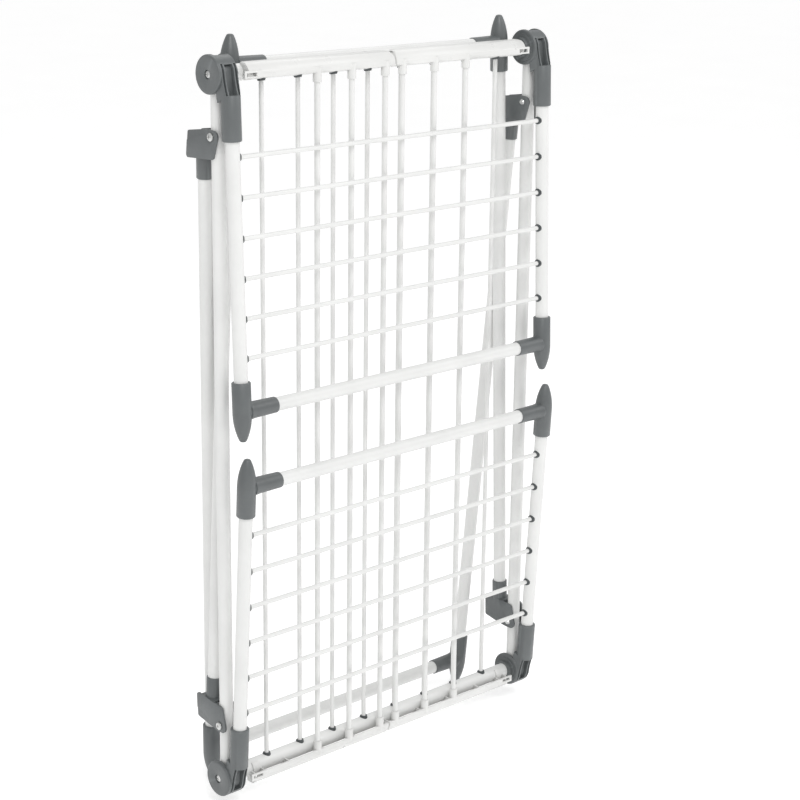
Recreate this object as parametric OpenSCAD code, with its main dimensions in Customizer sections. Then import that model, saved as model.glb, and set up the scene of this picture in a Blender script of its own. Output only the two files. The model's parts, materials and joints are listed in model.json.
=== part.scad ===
// Free-standing winged clothes airer, folded flat for storage.
// X runs across the width, -Y is the front (the wings' side), +Z is up.

/* [Panel] */
// Distance between the axes of the two end tubes
axis_gap = 922; // [882:10:962]
// Half the distance between the two side-tube axes
side_x = 271; // [266:1:276]
// Outer diameter of side tubes, wing tubes, leg tubes and crossbars
tube_d = 18; // [17:0.5:18.5]
// Outer diameter of the two end tubes
end_d = 21; // [20:0.5:22]
// Wall of every tube
wall = 0.8; // [0.8:0.1:1.4]
// Wall of every rod
rod_wall = 0.6; // [0.5:0.1:0.8]
// Number of rods in the panel
panel_rods = 8; // [4:1:8]
// Spacing of the panel rods
panel_pitch = 58.3; // [54:0.1:60]
// Diameter of the panel rods
panel_rod_d = 6; // [5:0.1:6.4]

/* [Rod grids on the front] */
// Distance of the grid rods in front of the panel rods
grid_y = 18; // [17.5:0.5:19]
// Spacing of the three rods in each grid
grid_pitch = 57.2; // [54:0.1:60]
// Distance from the middle to the first rod of a grid
grid_first = 15; // [12:0.5:20]
// Diameter of the grid rods
grid_rod_d = 7.4; // [6.5:0.1:7.6]
// Outer end of a grid rail, from the middle
rail_end = 240; // [236:1:242]
// Half the gap between the two grids
rail_gap = 1.5; // [1:0.5:3]
// How far the grids hang below the middle of the panel
grid_drop = 3; // [2.8:0.1:3.2]

/* [Wings] */
// Distance of the wing tubes in front of the hinge axis
wing_y = 23.5; // [23.5:0.5:25]
// Distance from the hinge axis to the free crossbar
wing_len = 414; // [410:1:420]
// Distance from the hinge axis to the first wing rod
wing_first = 99; // [96:1:104]
// Spacing of the wing rods
wing_pitch = 49.8; // [46:0.1:50]
// Number of rods in each wing
wing_rods = 6; // [4:1:6]
// Diameter of the wing rods
wing_rod_d = 6.2; // [5:0.1:6.6]
// How far the folded upper wing leans forwards, in degrees
lean_upper = 2.3; // [2:0.1:3.5]
// How far the folded lower wing leans forwards, in degrees
lean_lower = 3.3; // [2:0.1:3.5]
// Largest turn of a wing in its hub, in degrees
wing_open = 174; // [174:1:176]

/* [Legs] */
// Distance from a leg pivot to the nearer end-tube axis
pivot_in = 75; // [74:1:78]
// Distance of the leg tubes behind the pivot
leg_y = 28; // [27:0.5:30]
// Distance from the pivot to the foot crossbar
leg_len = 852; // [840:1:860]
// Half the distance between the two leg tubes at the pivot
leg_x = 270.5; // [269:0.5:271.5]
// Half the distance between the two leg tubes at the foot
foot_x = 234.5; // [230:0.5:238]
// How far the folded outer leg leans backwards, in degrees
lean_outer = 3.5; // [3.3:0.1:4]
// How far the folded inner leg leans backwards, in degrees
lean_inner = -0.3; // [-0.4:0.1:0]

/* [Fittings] */
// Outer radius of a wing hub
hub_r = 24; // [22:0.5:24.5]
// Width of the slot between a hub's two cheeks
slot_w = 20; // [19.6:0.2:21]
// Thickness of a hub's outer cheek
cheek = 6; // [5:0.5:6.5]
// Thickness of a hub's inner cheek
cheek_in = 4; // [3.5:0.5:6]
// Outer diameter of the sleeves that hold a wing tube
sleeve_d = 24.4; // [23:0.2:24.4]
// Length of a T fitting from its crossbar axis to its open end
tee_sleeve = 38; // [34:1:42]
// Length of a T fitting from its crossbar axis to its tip
tee_tip = 38.5; // [34:0.5:42]
// Reach of a T fitting's side branch from the tube axis
tee_branch = 52; // [46:1:58]

/* [Hidden] */
// Where the middle of the panel lies in the part's frame
panel_y = -16.35;
mid_z = 501.16;
// Radial clearance of a moving fit, and of a piece that sits fixed in another
run = 0.075;
seat = 0.05;
tube_r = tube_d / 2;
bore_r = tube_r - wall;
end_r = end_d / 2;
axis_z = axis_gap / 2;
pivot_z = axis_z - pivot_in;
knuckle_r = 15;
hub_in = side_x - slot_w / 2 - cheek_in;
hub_out = side_x + slot_w / 2 + cheek;
boss_in = 250;
shank_r = 2.5;
head_r = 5.2;
head_h = 2.8;
recess = 3.2;
grommet_r = 6;
rail_r = 15.7;
rail_wall = 2;
rail_c = 6.8;
rail_lip = 2.8;
rail_tab = 247;
pin_gap = 0.4;
leg_slope = atan((leg_x - foot_x) / leg_len);
bracket_wall = 2.4;
bracket_gap = 0.4;
bracket_back = 48;
bracket_low = 30;
nose_r = 8;
web_top = 13.5;
socket_end = 57;
socket_r = 10.8;
white = "#f1f2f1";
grey = "#6d7475";
dark = "#565c5d";
zinc = "#b9bcbd";
$fn = 64;

// ---------- helpers ----------

// Points on an arc, from angle a to angle b
function arc(c, r, a, b, n = 8) =
  [for (i = [0:n]) let (t = a + (b - a) * i / n) c + r * [cos(t), sin(t)]];

// Puts the middle of the panel where the part's frame has it
module place() translate([0, panel_y, mid_z]) children();

// s = 1 keeps the right side, s = -1 makes the left one
module side(s) scale_x(s) children();
module scale_x(s) mirror([s < 0 ? 1 : 0, 0, 0]) children();

// e = 1 is the top end, e = -1 the bottom one; +Z points outwards from the panel
module panel_end(e) mirror([0, 0, e < 0 ? 1 : 0]) translate([0, 0, axis_z]) children();

// A round bar along X or Z
module bar_x(r, a, b) translate([a, 0, 0]) rotate([0, 90, 0]) cylinder(r = r, h = b - a);
module bar_z(r, a, b) translate([0, 0, a]) cylinder(r = r, h = b - a);

// A hollow rod along X or Z
module rod_x(r, a, b) {
  difference() {
    bar_x(r, a, b);
    bar_x(r - rod_wall, a - 1, b + 1);
  }
}
module rod_z(r, a, b) {
  difference() {
    bar_z(r, a, b);
    bar_z(r - rod_wall, a - 1, b + 1);
  }
}

// A flat outline in Y and Z, made thick along X from a to b
module slab_x(a, b) translate([a, 0, 0]) rotate([90, 0, 90]) linear_extrude(b - a) children();

// A ring that hugs a tube of radius r lying along Z, round a rod along -X
module saddle(r, rod_d, proud) {
  difference() {
    intersection() {
      translate([-r - proud, 0, 0]) rotate([0, 90, 0])
        cylinder(r1 = grommet_r - 1.2, r2 = grommet_r, h = proud + 2);
      difference() {
        bar_z(r + proud, -grommet_r - 1, grommet_r + 1);
        bar_z(r + seat, -grommet_r - 2, grommet_r + 2);
      }
    }
    bar_x(rod_d / 2 + seat, -r - proud - 1, 0);
  }
}

// A cross-head screw along +X, with its head's flat side at x = 0 and its shank towards -X
module pan_screw(length) {
  difference() {
    rotate([0, 90, 0]) rotate_extrude()
      polygon(concat([[0, 0], [head_r, 0], [head_r, 0.8]],
        [for (t = [15:15:75]) [head_r * cos(t), 0.8 + (head_h - 0.8) * sin(t)]], [[0, head_h]]));
    for (q = [0, 90])
      rotate([q, 0, 0]) translate([head_h - 1.4, -2.4, -0.45]) cube([2, 4.8, 0.9]);
  }
  bar_x(shank_r, -length, 0);
}

// ---------- panel ----------

// One side tube, with cross holes for its two leg pivots
module side_tube(s) {
  tube_end = axis_z - knuckle_r - 0.3;
  color(white) place() side(s) translate([side_x, 0, 0]) difference() {
    bar_z(tube_r, -tube_end, tube_end);
    bar_z(bore_r, -tube_end - 1, tube_end + 1);
    for (z = [-pivot_z, pivot_z])
      translate([0, 0, z]) bar_x(shank_r + run, -tube_d, tube_d);
  }
}

// X position of panel rod i, counted from the left
function panel_rod_x(i) = (i - (panel_rods + 1) / 2) * panel_pitch;

// One end tube, with a hole for every panel rod on its inner side
module end_tube(e) {
  reach = side_x - slot_w / 2 + 0.1;
  color(white) place() panel_end(e) difference() {
    bar_x(end_r, -reach, reach);
    bar_x(end_r - wall, -reach - 1, reach + 1);
    for (i = [1:panel_rods])
      translate([panel_rod_x(i), 0, 0]) bar_z(panel_rod_d / 2 + seat, -end_d, 0);
  }
}

module panel_rod(i) {
  reach = axis_z - end_r + wall + 2;
  color(white) place() translate([panel_rod_x(i), 0, 0]) rod_z(panel_rod_d / 2, -reach, reach);
}

module panel_rod_grommets() {
  color(dark) place()
    for (e = [-1, 1], i = [1:panel_rods])
      panel_end(e) translate([panel_rod_x(i), 0, 0]) rotate([0, -90, 0])
        saddle(end_r, panel_rod_d, 2.4);
}

// The block inside each hub that joins an end tube to a side tube and carries the hub screw
module corner_knuckles() {
  half = slot_w / 2 - 0.3;
  color(dark) place()
    for (e = [-1, 1], s = [-1, 1])
      panel_end(e) side(s) translate([side_x, 0, 0]) difference() {
        union() {
          bar_x(knuckle_r, -half, half);
          bar_z(bore_r - seat, -40, 0);
          bar_x(end_r - wall - seat, -36, 0);
        }
        bar_x(shank_r + seat, -6, half + 1);
      }
}

module hub_screws() {
  head_x = hub_out - recess;
  color(zinc) place()
    for (e = [-1, 1], s = [-1, 1])
      panel_end(e) side(s) translate([head_x, 0, 0]) pan_screw(head_x - side_x + 5);
}

// Through pins of the four leg pivots, with a screw head outside and a domed nut inside
module leg_pivot_screws() {
  out = tube_r + bracket_gap + bracket_wall + bracket_gap;
  color(zinc) place()
    for (e = [-1, 1], s = [-1, 1])
      side(s) translate([side_x, 0, e * pivot_z]) {
        translate([out, 0, 0]) pan_screw(2 * out);
        translate([-out, 0, 0]) rotate([0, -90, 0])
          cylinder(r1 = 4, r2 = 2.6, h = 2.2);
      }
}

// ---------- rod grids on the front ----------

// Section of a rail in Y and Z: a quarter shell over the front and outer side of the end tube
module rail_shell() {
  polygon(concat(
    [[-rail_lip, rail_r], [-rail_lip, rail_r - rail_wall]],
    arc([-rail_c, 0], rail_r - rail_wall, 90, 180, 12),
    [[-rail_c - rail_r + rail_wall, -3], [-rail_c - rail_r, -3]],
    arc([-rail_c, 0], rail_r, 180, 90, 12)
  ));
}

// Section of a rib that fills the shell down to the end tube, whose axis is at height z
module rail_rib(z) {
  difference() {
    polygon(concat([[-rail_lip - 0.5, rail_r - 1], [-rail_lip - 0.5, 0], [-10, -2.5]],
      [[-rail_c - rail_r + 1, -2.5]], arc([-rail_c, 0], rail_r - 1, 180, 90, 12)));
    translate([0, z]) circle(r = end_r + pin_gap);
  }
}

// X position of grid rod i, counted from the middle
function grid_rod_x(i) = grid_first + (i - 1) * grid_pitch;

module grid_rail(e, s) {
  front = rail_c + rail_r;
  color(white) place() panel_end(e) side(s) translate([0, 0, -e * grid_drop]) difference() {
    union() {
      intersection() {
        union() {
          slab_x(rail_gap, rail_end) rail_shell();
          for (x = [rail_gap, 62, 120, 180, rail_end - 18, rail_end - 2])
            slab_x(x, x + 2) rail_rib(e * grid_drop);
        }
        rotate([90, 0, 0]) linear_extrude(80, center = true)
          polygon(concat([[rail_gap, -20], [rail_end, -20]],
            arc([rail_end - 4, rail_r - 4], 4, 0, 90, 5),
            arc([rail_gap + 9, rail_r - 9], 9, 90, 180)));
      }
      translate([rail_end - 20, -front, -3]) cube([rail_tab - rail_end + 20, 2.6, 9]);
      for (i = [1:3])
        translate([grid_rod_x(i), -grid_y, 0]) bar_z(grid_rod_d / 2 + 1.9, -15, 4);
    }
    for (i = [1:3])
      translate([grid_rod_x(i), -grid_y, 0]) bar_z(grid_rod_d / 2 + seat, -16, 1);
    translate([rail_end - 12, -front - 20, -1]) cube([rail_tab - rail_end + 9, 24, 4.5]);
  }
}

module grid_rods(s) {
  reach = axis_z + 0.5;
  color(white) place() side(s) translate([0, 0, -grid_drop])
    for (i = [1:3])
      translate([grid_rod_x(i), -grid_y, 0]) rod_z(grid_rod_d / 2, -reach, reach);
}

// Open spring clips on the end tubes that the outer ends of the grid rails sit on
module grid_clips() {
  color(white) place()
    for (e = [-1, 1], s = [-1, 1])
      panel_end(e) side(s) difference() {
        bar_x(end_r + 1.6, rail_end - 14.5, rail_end - 4);
        bar_x(end_r + seat, rail_end - 15, rail_end);
        slab_x(rail_end - 15, rail_end) polygon([[0, 0], [-30, 40], [40, 40], [40, -40], [-30, -40]]);
      }
}

// ---------- wings ----------
// In a wing's own frame +Z runs from the hinge axis to the tip and -Y is forwards.

module upper_wing() {
  place() translate([0, 0, axis_z]) mirror([0, 0, 1]) rotate([lean_upper, 0, 0]) children();
}

module lower_wing() {
  place() translate([0, 0, -axis_z]) rotate([lean_lower, 0, 0]) children();
}

// A hub cheek: a disc from x = 0 to x = thick, with its outer edge rounded to radius edge
module cheek_disc(thick, edge) {
  rotate([0, 90, 0]) rotate_extrude()
    polygon(concat([[0, 0], [hub_r, 0]],
      arc([hub_r - edge, thick - edge], edge, 0, 90, 7), [[0, thick]]));
}

// The way the side tube takes between the cheeks as the wing turns
module hub_slot() {
  half = tube_r + 0.5;
  polygon(concat([[0, 0]], [for (a = [0:6:wing_open]) 60 * [sin(a), cos(a)]]));
  translate([-half, 0]) square([2 * half, 60]);
  rotate(-wing_open) translate([-half, 0]) square([2 * half, 60]);
  circle(r = knuckle_r + 1.5);
}

// Side view of a hub's neck, from the drum to the sleeve
module hub_neck() {
  polygon(concat(
    arc([0, 0], hub_r - 0.2, 270, 186, 10),
    [[-25.4, 9], [-27.6, 18], [-wing_y - 6.5, 25], [-wing_y + 10.5, 33], [-11.5, 26], [-11.5, 0],
      [0, 0]]
  ));
}

// Side view of the space that a window takes out of the neck, down to radius r
module neck_window(r) {
  polygon(concat([[-60, -12]], arc([0, 0], r, 220, 180, 8), [[-r - 1.5, 24], [-60, 24]]));
}

// Hub s of a wing: -1 is left, 1 is right. Every hub's left cheek is crisp and its right one round
module hub(s) {
  half = slot_w / 2;
  crisp = 2.4;
  left_out = s < 0;
  body_r = sleeve_d / 2;
  rib = 7.2;
  color(grey) side(s) translate([side_x, 0, 0]) difference() {
    union() {
      translate([half, 0, 0]) cheek_disc(cheek, left_out ? crisp : cheek - 0.4);
      mirror([1, 0, 0]) translate([half, 0, 0])
        cheek_disc(cheek_in, left_out ? cheek_in - 0.4 : crisp);
      bar_x(hub_r, -half - 0.2, half + 0.2);
      bar_x(13.4, boss_in - side_x, 0);
      bar_x(18.5, hub_in - side_x - 1.5, 0);
      intersection() {
        slab_x(-body_r, body_r) hub_neck();
        union() {
          translate([0, -wing_y, 0]) bar_z(body_r, -hub_r - 1, 34);
          translate([-body_r, -wing_y, -hub_r - 1]) cube([2 * body_r, 30, hub_r + 35]);
        }
      }
      translate([0, -wing_y, 0]) bar_z(body_r, 24, 78.5);
      translate([0, -wing_y, 78.5]) cylinder(r1 = body_r, r2 = body_r - 1, h = 1);
    }
    slab_x(-half, half) hub_slot();
    bar_x(end_r + run, boss_in - side_x - 1, 0);
    bar_x(shank_r + run, 0, 40);
    bar_x(head_r + 0.5, half + cheek - recess - 0.4, 40);
    translate([0, -wing_y, 0]) bar_z(tube_r + seat, 27, 90);
    slab_x(1 - rib, rib - 1) neck_window(18.8);
    for (x = [-rib - 3.8, rib + 1])
      slab_x(x, x + 2.8) neck_window(20.5);
  }
}

// X position s of a wing tube: -1 is left, 1 is right
module wing_tube(s) {
  color(white) side(s) translate([side_x, -wing_y, 0]) difference() {
    bar_z(tube_r, 28, wing_len - 1.5);
    bar_z(bore_r, 27, wing_len);
    for (i = [1:wing_rods])
      translate([0, 0, wing_rod_z(i)]) bar_x(wing_rod_d / 2 + seat, -tube_d, 0);
  }
}

// Distance of wing rod i from the hinge axis
function wing_rod_z(i) = wing_first + (i - 1) * wing_pitch;

module wing_rods() {
  reach = side_x - bore_r + 3;
  color(white)
    for (i = [1:wing_rods])
      translate([0, -wing_y, wing_rod_z(i)]) rod_x(wing_rod_d / 2, -reach, reach);
}

module wing_grommets() {
  color(dark)
    for (s = [-1, 1], i = [1:wing_rods])
      side(s) translate([side_x, -wing_y, wing_rod_z(i)]) saddle(tube_r, wing_rod_d, 1.8);
}

// A crossbar between two T fittings whose tubes are at +-x
module crossbar(x) {
  reach = x - tube_r - 6;
  color(white) difference() {
    bar_x(tube_r, -reach, reach);
    bar_x(bore_r, -reach - 1, reach + 1);
  }
}

// A T fitting: a sleeve towards -Z, a pointed tip towards +Z and a branch towards -X.
// The sleeve and tip lean by slope degrees, the branch stays along X.
module tee(slope) {
  body_r = sleeve_d / 2;
  color(grey) difference() {
    union() {
      rotate([0, slope, 0]) rotate_extrude()
        polygon(concat([[0, -tee_sleeve], [body_r - 0.8, -tee_sleeve], [body_r, -tee_sleeve + 1]],
          [for (z = [0:3:33]) [body_r * (1 - pow(z / 46, 2.2)), z]],
          [[4.7, tee_tip - 1.9], [3.6, tee_tip - 0.6], [2.2, tee_tip - 0.1], [0, tee_tip]]));
      translate([-tee_branch, 0, 0]) rotate([0, 90, 0])
        cylinder(r1 = 10.3, r2 = 11.2, h = tee_branch);
      translate([-17, 0, 0]) rotate([0, 90, 0]) cylinder(r1 = 10.9, r2 = 12.1, h = 9);
    }
    rotate([0, slope, 0]) bar_z(tube_r + seat, -tee_sleeve - 1, -1);
    bar_x(tube_r + seat, -tee_branch - 1, -tube_r - 5);
  }
}

module wing_tip(s) {
  side(s) translate([side_x, -wing_y, wing_len]) tee(0);
}

// ---------- legs ----------
// In a leg's own frame the pivot is at the origin, +Z runs to the foot and +Y is backwards.

module outer_leg() {
  place() translate([0, 0, pivot_z]) mirror([0, 0, 1]) rotate([-lean_outer, 0, 0]) children();
}

module inner_leg() {
  place() translate([0, 0, -pivot_z]) rotate([-lean_inner, 0, 0]) children();
}

// Moves to a leg tube's line, which leans inwards towards the foot
module on_leg_line() translate([leg_x, leg_y, 0]) rotate([0, -leg_slope, 0]) children();

// Side view of a bracket's cheek
module bracket_outline() {
  polygon(concat(
    arc([-4.5, -0.3], nose_r, 180, 270, 8),
    [[5, -nose_r - 0.2], [21, -nose_r + 1.8]],
    arc([bracket_back - 4, 1.5], 3, -70, 0, 4),
    arc([bracket_back - 4, bracket_low - 1.5], 4, 0, 84, 5),
    [[20, bracket_low - 0.2]],
    arc([-1.6, bracket_low - 7], 4.6, 100, 168, 4)
  ));
}

// The upper strip of a cheek's outer face, which lies a little lower than the rest
module bracket_strip() {
  polygon([[60, -30], [60, 12], [47, 11], [21, 1.2], [9, -1.5], [9, -30]]);
}

module leg_bracket(s) {
  inner = tube_r + bracket_gap;
  outer = inner + bracket_wall;
  color(grey) side(s) difference() {
    union() {
      translate([side_x, 0, 0]) {
        slab_x(inner, outer) bracket_outline();
        slab_x(-outer, -inner) bracket_outline();
        translate([-inner - 1, bracket_back - 2.6, web_top])
          cube([2 * inner + 2, 2.6, bracket_low - web_top - 3]);
        translate([-inner - 1, 12, bracket_low - 2.8])
          cube([2 * inner + 2, bracket_back - 16, 2.8]);
      }
      on_leg_line() {
        bar_z(socket_r, bracket_low - 1.5, socket_end - 1);
        translate([0, 0, socket_end - 1]) cylinder(r1 = socket_r, r2 = socket_r - 0.8, h = 1);
      }
    }
    on_leg_line() bar_z(tube_r + seat, bracket_low + 0.5, socket_end + 1);
    translate([side_x, 0, 0]) bar_x(shank_r + run, -30, 30);
    translate([side_x, 0, 0]) slab_x(outer - 0.7, outer + 1) bracket_strip();
    translate([side_x, 0, 0]) slab_x(-inner, inner) polygon([
      [-30, -30], [-30, 80], [11.5, 80], [11.5, bracket_low - 2.8],
      [bracket_back - 2.6, bracket_low - 2.8], [bracket_back - 2.6, -30]
    ]);
  }
}

module leg_tube(s) {
  far = leg_len / cos(leg_slope);
  color(white) side(s) on_leg_line() difference() {
    bar_z(tube_r, bracket_low + 1, far - 2);
    bar_z(bore_r, bracket_low, far);
  }
}

module leg_foot(s) {
  side(s) translate([foot_x, leg_y, leg_len]) tee(-leg_slope);
}

// ---------- assembly ----------

side_tube(-1);  // side_tube_left
side_tube(1);  // side_tube_right
end_tube(1);  // end_tube_top
end_tube(-1);  // end_tube_bottom
for (i = [1:panel_rods]) panel_rod(i);
panel_rod_grommets();
corner_knuckles();
grid_rail(1, -1);  // grid_rail_top_left
grid_rail(1, 1);  // grid_rail_top_right
grid_rail(-1, -1);  // grid_rail_bottom_left
grid_rail(-1, 1);  // grid_rail_bottom_right
grid_rods(-1);  // grid_rods_left
grid_rods(1);  // grid_rods_right
grid_clips();
hub_screws();
leg_pivot_screws();
upper_wing() hub(-1);  // upper_wing_hub_left
upper_wing() hub(1);  // upper_wing_hub_right
upper_wing() wing_tube(-1);  // upper_wing_tube_left
upper_wing() wing_tube(1);  // upper_wing_tube_right
upper_wing() translate([0, -wing_y, wing_len]) crossbar(side_x);  // upper_wing_crossbar
upper_wing() wing_tip(-1);  // upper_wing_tip_left
upper_wing() wing_tip(1);  // upper_wing_tip_right
upper_wing() wing_rods();  // upper_wing_rods
upper_wing() wing_grommets();  // upper_wing_grommets
lower_wing() hub(-1);  // lower_wing_hub_left
lower_wing() hub(1);  // lower_wing_hub_right
lower_wing() wing_tube(-1);  // lower_wing_tube_left
lower_wing() wing_tube(1);  // lower_wing_tube_right
lower_wing() translate([0, -wing_y, wing_len]) crossbar(side_x);  // lower_wing_crossbar
lower_wing() wing_tip(-1);  // lower_wing_tip_left
lower_wing() wing_tip(1);  // lower_wing_tip_right
lower_wing() wing_rods();  // lower_wing_rods
lower_wing() wing_grommets();  // lower_wing_grommets
outer_leg() leg_bracket(-1);  // outer_leg_bracket_left
outer_leg() leg_bracket(1);  // outer_leg_bracket_right
outer_leg() leg_tube(-1);  // outer_leg_tube_left
outer_leg() leg_tube(1);  // outer_leg_tube_right
outer_leg() translate([0, leg_y, leg_len]) crossbar(foot_x);  // outer_leg_crossbar
outer_leg() leg_foot(-1);  // outer_leg_foot_left
outer_leg() leg_foot(1);  // outer_leg_foot_right
inner_leg() leg_bracket(-1);  // inner_leg_bracket_left
inner_leg() leg_bracket(1);  // inner_leg_bracket_right
inner_leg() leg_tube(-1);  // inner_leg_tube_left
inner_leg() leg_tube(1);  // inner_leg_tube_right
inner_leg() translate([0, leg_y, leg_len]) crossbar(foot_x);  // inner_leg_crossbar
inner_leg() leg_foot(-1);  // inner_leg_foot_left
inner_leg() leg_foot(1);  // inner_leg_foot_right
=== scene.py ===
import json
import math

import bmesh
import bpy
from mathutils import Matrix, Vector

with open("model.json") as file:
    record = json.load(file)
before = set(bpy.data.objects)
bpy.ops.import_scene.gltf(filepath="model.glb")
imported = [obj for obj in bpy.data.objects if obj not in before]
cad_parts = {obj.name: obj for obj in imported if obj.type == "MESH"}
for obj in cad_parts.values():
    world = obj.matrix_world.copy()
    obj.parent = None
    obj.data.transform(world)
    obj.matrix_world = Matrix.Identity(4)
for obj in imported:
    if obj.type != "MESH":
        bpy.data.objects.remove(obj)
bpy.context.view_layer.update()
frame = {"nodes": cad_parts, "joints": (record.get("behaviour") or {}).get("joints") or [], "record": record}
NODES = frame["nodes"]
JOINTS = {j["name"]: j for j in frame["joints"]}
MM = 0.001

# ---------------------------------------------------------------- places taken from the frame
# The panel plane holds the two end tubes' axes; its middle is half way between the wing hinges.
HINGE_TOP = Vector(JOINTS["upper_wing_hinge"]["pos_m"])
HINGE_LOW = Vector(JOINTS["lower_wing_hinge"]["pos_m"])
CENTRE = (HINGE_TOP + HINGE_LOW) / 2


# ---------------------------------------------------------------- node helpers
def new_material(name):
    mat = bpy.data.materials.new(name)
    mat.use_nodes = True
    nt = mat.node_tree
    nt.nodes.clear()
    out = nt.nodes.new("ShaderNodeOutputMaterial")
    bsdf = nt.nodes.new("ShaderNodeBsdfPrincipled")
    nt.links.new(bsdf.outputs["BSDF"], out.inputs["Surface"])
    return mat, nt, bsdf


def noise(nt, scale, detail=3.0, rough=0.5, stretch=None):
    """A noise over the row frame, in metres; stretch scales its axes."""
    node = nt.nodes.new("ShaderNodeTexNoise")
    node.inputs["Scale"].default_value = scale
    node.inputs["Detail"].default_value = detail
    node.inputs["Roughness"].default_value = rough
    coord = nt.nodes.new("ShaderNodeTexCoord")
    source = coord.outputs["Object"]
    if stretch:
        mapping = nt.nodes.new("ShaderNodeMapping")
        mapping.inputs["Scale"].default_value = stretch
        nt.links.new(source, mapping.inputs["Vector"])
        source = mapping.outputs["Vector"]
    nt.links.new(source, node.inputs["Vector"])
    return node.outputs["Fac"]


def ramp(nt, source, stops):
    node = nt.nodes.new("ShaderNodeValToRGB")
    cr = node.color_ramp
    cr.elements[0].position, cr.elements[0].color = stops[0][0], grey(stops[0][1])
    cr.elements[1].position, cr.elements[1].color = stops[-1][0], grey(stops[-1][1])
    for pos, value in stops[1:-1]:
        cr.elements.new(pos).color = grey(value)
    nt.links.new(source, node.inputs["Fac"])
    return node.outputs["Color"]


def grey(value):
    """An RGBA colour from a grey level or an RGB triple."""
    rgb = (value,) * 3 if isinstance(value, (int, float)) else tuple(value)
    return (*rgb, 1.0)


def mix(nt, factor, a, b):
    node = nt.nodes.new("ShaderNodeMix")
    node.data_type = "RGBA"
    for socket, value in ((node.inputs[0], factor), (node.inputs[6], a), (node.inputs[7], b)):
        if isinstance(value, bpy.types.NodeSocket):
            nt.links.new(value, socket)
        elif socket.type == "RGBA":
            socket.default_value = grey(value)
        else:
            socket.default_value = value
    return node.outputs[2]


def maths(nt, op, a, b=0.0):
    node = nt.nodes.new("ShaderNodeMath")
    node.operation = op
    for socket, value in zip(node.inputs, (a, b)):
        if isinstance(value, bpy.types.NodeSocket):
            nt.links.new(value, socket)
        else:
            socket.default_value = value
    return node.outputs[0]


def bump(nt, bsdf, height, strength, distance):
    node = nt.nodes.new("ShaderNodeBump")
    node.inputs["Strength"].default_value = strength
    node.inputs["Distance"].default_value = distance
    nt.links.new(height, node.inputs["Height"])
    nt.links.new(node.outputs["Normal"], bsdf.inputs["Normal"])


def edge_mask(nt, low, high):
    """1 on sharp outer edges and 0 elsewhere, from the pointiness of the mesh."""
    geo = nt.nodes.new("ShaderNodeNewGeometry")
    return ramp(nt, geo.outputs["Pointiness"], [(low, 0.0), (high, 1.0)])


# ---------------------------------------------------------------- materials
def powder_coat():
    """White powder coat on steel tube: fine orange peel, faint uneven whiteness."""
    mat, nt, bsdf = new_material("white_powder_coat")
    patches = noise(nt, 14.0, 4.0, 0.55)
    tone = ramp(nt, patches, [(0.3, (0.705, 0.708, 0.698)), (0.7, (0.762, 0.764, 0.754))])
    specks = noise(nt, 900.0, 1.0)
    spots = ramp(nt, specks, [(0.24, 1.0), (0.3, 0.0)])
    nt.links.new(mix(nt, maths(nt, "MULTIPLY", spots, 0.1), tone, 0.5), bsdf.inputs["Base Color"])
    rough = ramp(nt, noise(nt, 60.0, 3.0), [(0.3, 0.3), (0.7, 0.42)])
    nt.links.new(rough, bsdf.inputs["Roughness"])
    bsdf.inputs["Coat Weight"].default_value = 0.2
    bsdf.inputs["Coat Roughness"].default_value = 0.25
    bump(nt, bsdf, noise(nt, 1400.0, 2.0), 0.12, 0.0003)
    return mat


def white_plastic():
    """White moulded plastic of the grid rails: a little warmer and glossier than the tubes."""
    mat, nt, bsdf = new_material("white_moulded_plastic")
    tone = ramp(nt, noise(nt, 9.0, 3.0), [(0.3, (0.68, 0.68, 0.668)), (0.7, (0.74, 0.74, 0.728))])
    nt.links.new(tone, bsdf.inputs["Base Color"])
    rough = ramp(nt, noise(nt, 40.0, 3.0), [(0.3, 0.26), (0.7, 0.38)])
    nt.links.new(rough, bsdf.inputs["Roughness"])
    bsdf.inputs["Subsurface Weight"].default_value = 0.04
    bsdf.inputs["Subsurface Radius"].default_value = (0.002, 0.002, 0.002)
    bump(nt, bsdf, noise(nt, 700.0, 2.0, stretch=(0.25, 1.0, 1.0)), 0.08, 0.0003)
    return mat


def grey_plastic(name, base, rough_low=0.3):
    """Spark-eroded grey plastic: fine grain, flow marks and a painted highlight that makes the sharp edges
    paler.
    """
    mat, nt, bsdf = new_material(name)
    low = tuple(c * 0.9 for c in base)
    high = tuple(c * 1.1 for c in base)
    tone = ramp(nt, noise(nt, 22.0, 4.0, 0.6), [(0.3, low), (0.7, high)])
    flow = ramp(nt, noise(nt, 55.0, 2.0, stretch=(1.0, 1.0, 0.22)), [(0.45, 0.0), (0.75, 1.0)])
    tone = mix(nt, maths(nt, "MULTIPLY", flow, 0.16), tone, tuple(c * 1.45 for c in base))
    # painted highlight: the sharp outer edges are made paler, as if they catch the light
    painted_edge_highlight = maths(nt, "MULTIPLY", edge_mask(nt, 0.52, 0.6), 0.35)
    tone = mix(nt, painted_edge_highlight, tone, tuple(min(1.0, c * 2.0) for c in base))
    nt.links.new(tone, bsdf.inputs["Base Color"])
    rough = ramp(nt, noise(nt, 300.0, 3.0), [(0.3, rough_low), (0.7, rough_low + 0.16)])
    nt.links.new(rough, bsdf.inputs["Roughness"])
    bsdf.inputs["Specular IOR Level"].default_value = 0.65
    bump(nt, bsdf, noise(nt, 2600.0, 2.0), 0.22, 0.0003)
    return mat


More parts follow.
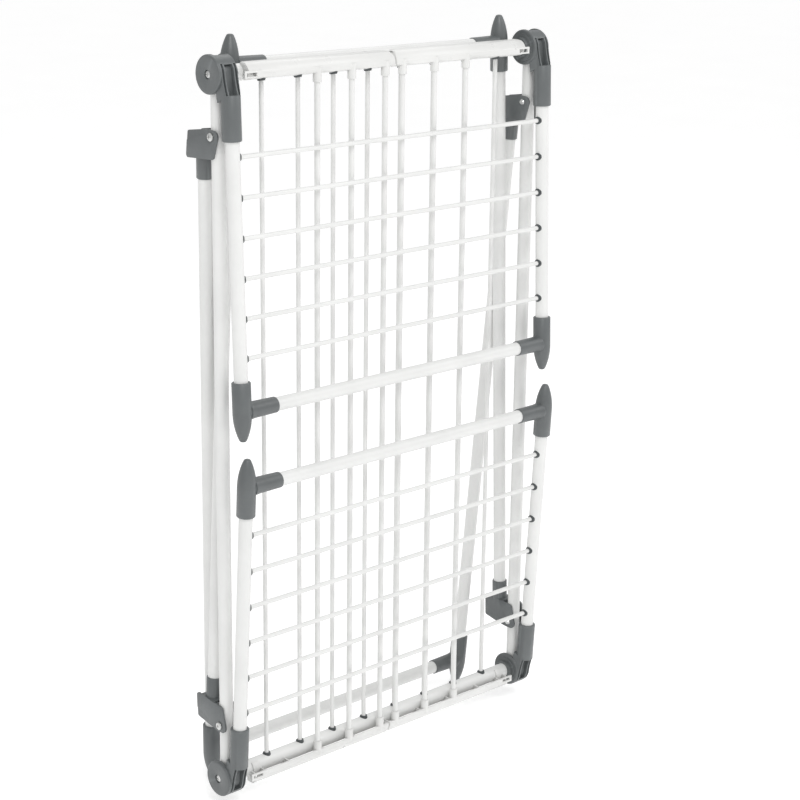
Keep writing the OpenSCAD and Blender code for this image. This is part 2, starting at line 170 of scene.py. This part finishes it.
def zinc_plate():
    """Bright zinc plate on the screws, with fine turning marks."""
    mat, nt, bsdf = new_material("zinc_plate")
    tone = ramp(nt, noise(nt, 260.0, 3.0), [(0.3, (0.52, 0.53, 0.53)), (0.7, (0.74, 0.74, 0.72))])
    nt.links.new(tone, bsdf.inputs["Base Color"])
    bsdf.inputs["Metallic"].default_value = 1.0
    rough = ramp(nt, noise(nt, 500.0, 3.0), [(0.3, 0.22), (0.7, 0.42)])
    nt.links.new(rough, bsdf.inputs["Roughness"])
    bump(nt, bsdf, noise(nt, 3000.0, 2.0), 0.15, 0.0002)
    return mat


MATERIALS = {
    "white_steel": powder_coat(),
    "white_plastic": white_plastic(),
    "grey_plastic": grey_plastic("grey_moulded_plastic", (0.102, 0.111, 0.113)),
    "dark_plastic": grey_plastic("dark_moulded_plastic", (0.035, 0.041, 0.043)),
    "zinc": zinc_plate(),
}
SMOOTH_ANGLE = math.radians(32)
EDGE_ANGLE = math.radians(40)
WELD_DISTANCE = 0.00001
# How much the sharp edges of each moulded slot are rounded, in metres
EDGES = {"grey_plastic": 0.0004, "white_plastic": 0.0003}
SLOTS = {s["node"]: s["material_slot"] for s in frame["record"]["subparts"]}


def finish_node(obj, name):
    """Puts a procedural material on a CAD node and shades its round faces smooth."""
    obj.data.materials.clear()
    obj.data.materials.append(MATERIALS[SLOTS[name]])
    bpy.context.view_layer.objects.active = obj
    for other in bpy.context.selected_objects:
        other.select_set(False)
    obj.select_set(True)
    bpy.ops.object.shade_smooth_by_angle(angle=SMOOTH_ANGLE)
    obj.select_set(False)
    if SLOTS[name] in EDGES:
        weld = obj.modifiers.new("weld", "WELD")
        weld.merge_threshold = WELD_DISTANCE
        bevel = obj.modifiers.new("edges", "BEVEL")
        bevel.width = EDGES[SLOTS[name]]
        bevel.segments = 2
        bevel.limit_method = "ANGLE"
        bevel.angle_limit = EDGE_ANGLE
        bevel.harden_normals = True


for node_name, node_obj in NODES.items():
    finish_node(node_obj, node_name)


# ---------------------------------------------------------------- camera
# A long lens from the front left, a little above the object's middle.
AZIMUTH = math.radians(-43.097)
ELEVATION = math.radians(15.792)
ROLL = math.radians(0.654)
DISTANCE = 2.6904
LENS = 88.9  # millimetres, on a sensor 36 mm wide
SENSOR = 36.0
TARGET = CENTRE + Vector((34.17, 0.0, -1.05)) * MM
back = Vector((math.sin(AZIMUTH) * math.cos(ELEVATION),
               -math.cos(AZIMUTH) * math.cos(ELEVATION), math.sin(ELEVATION)))
right = Vector((math.cos(AZIMUTH), math.sin(AZIMUTH), 0.0))
up = back.cross(right)
cam_x = math.cos(ROLL) * right + math.sin(ROLL) * up
cam_y = -math.sin(ROLL) * right + math.cos(ROLL) * up
camera_data = bpy.data.cameras.new("camera")
camera_data.lens = LENS
camera_data.sensor_width = SENSOR
camera = bpy.data.objects.new("camera", camera_data)
bpy.context.scene.collection.objects.link(camera)
camera.matrix_world = Matrix.Translation(TARGET + DISTANCE * back) @ Matrix(
    (cam_x, cam_y, back)).transposed().to_4x4()
bpy.context.scene.camera = camera


# ---------------------------------------------------------------- floor and light
FLOOR_HALF = 30.0  # half the floor's side, far enough to fill the camera's view
FLOOR_GAP = 0.0005  # how far the floor lies below the object
FLOOR_GLOW = 0.36  # the floor's own light, which keeps the background white
LIGHT_DISTANCE = 3.2  # from each soft box to the middle of the object
SKY_STRENGTH = 0.7


def make_floor():
    """A flat pale floor under the object."""
    bm = bmesh.new()
    bmesh.ops.create_grid(bm, x_segments=1, y_segments=1, size=FLOOR_HALF)
    mesh = bpy.data.meshes.new("floor")
    bm.to_mesh(mesh)
    bm.free()
    floor = bpy.data.objects.new("floor", mesh)
    floor.location.z = -FLOOR_GAP
    bpy.context.scene.collection.objects.link(floor)
    mat, nt, bsdf = new_material("pale_floor")
    tone = ramp(nt, noise(nt, 3.0, 3.0), [(0.3, 0.88), (0.7, 0.9)])
    nt.links.new(tone, bsdf.inputs["Base Color"])
    bsdf.inputs["Roughness"].default_value = 0.9
    bsdf.inputs["Emission Color"].default_value = grey(1.0)
    bsdf.inputs["Emission Strength"].default_value = FLOOR_GLOW
    mesh.materials.append(mat)


def soft_box(name, azimuth, elevation, size, power):
    """A square area light that faces the middle of the object."""
    data = bpy.data.lights.new(name, "AREA")
    data.shape = "SQUARE"
    data.size = size
    data.energy = power
    lamp = bpy.data.objects.new(name, data)
    bpy.context.scene.collection.objects.link(lamp)
    a, e = math.radians(azimuth), math.radians(elevation)
    way = Vector((math.sin(a) * math.cos(e), -math.cos(a) * math.cos(e), math.sin(e)))
    lamp.location = CENTRE + LIGHT_DISTANCE * way
    lamp.rotation_euler = way.to_track_quat("Z", "Y").to_euler()


make_floor()
soft_box("key", azimuth=-30.0, elevation=44.0, size=1.4, power=30.0)
soft_box("side", azimuth=50.0, elevation=40.0, size=1.6, power=14.0)
soft_box("rim", azimuth=140.0, elevation=60.0, size=2.0, power=14.0)

world = bpy.data.worlds.new("studio")
world.use_nodes = True
bpy.context.scene.world = world
world.node_tree.nodes["Background"].inputs["Color"].default_value = grey(1.0)
world.node_tree.nodes["Background"].inputs["Strength"].default_value = SKY_STRENGTH
bpy.context.scene.view_settings.view_transform = "Standard"
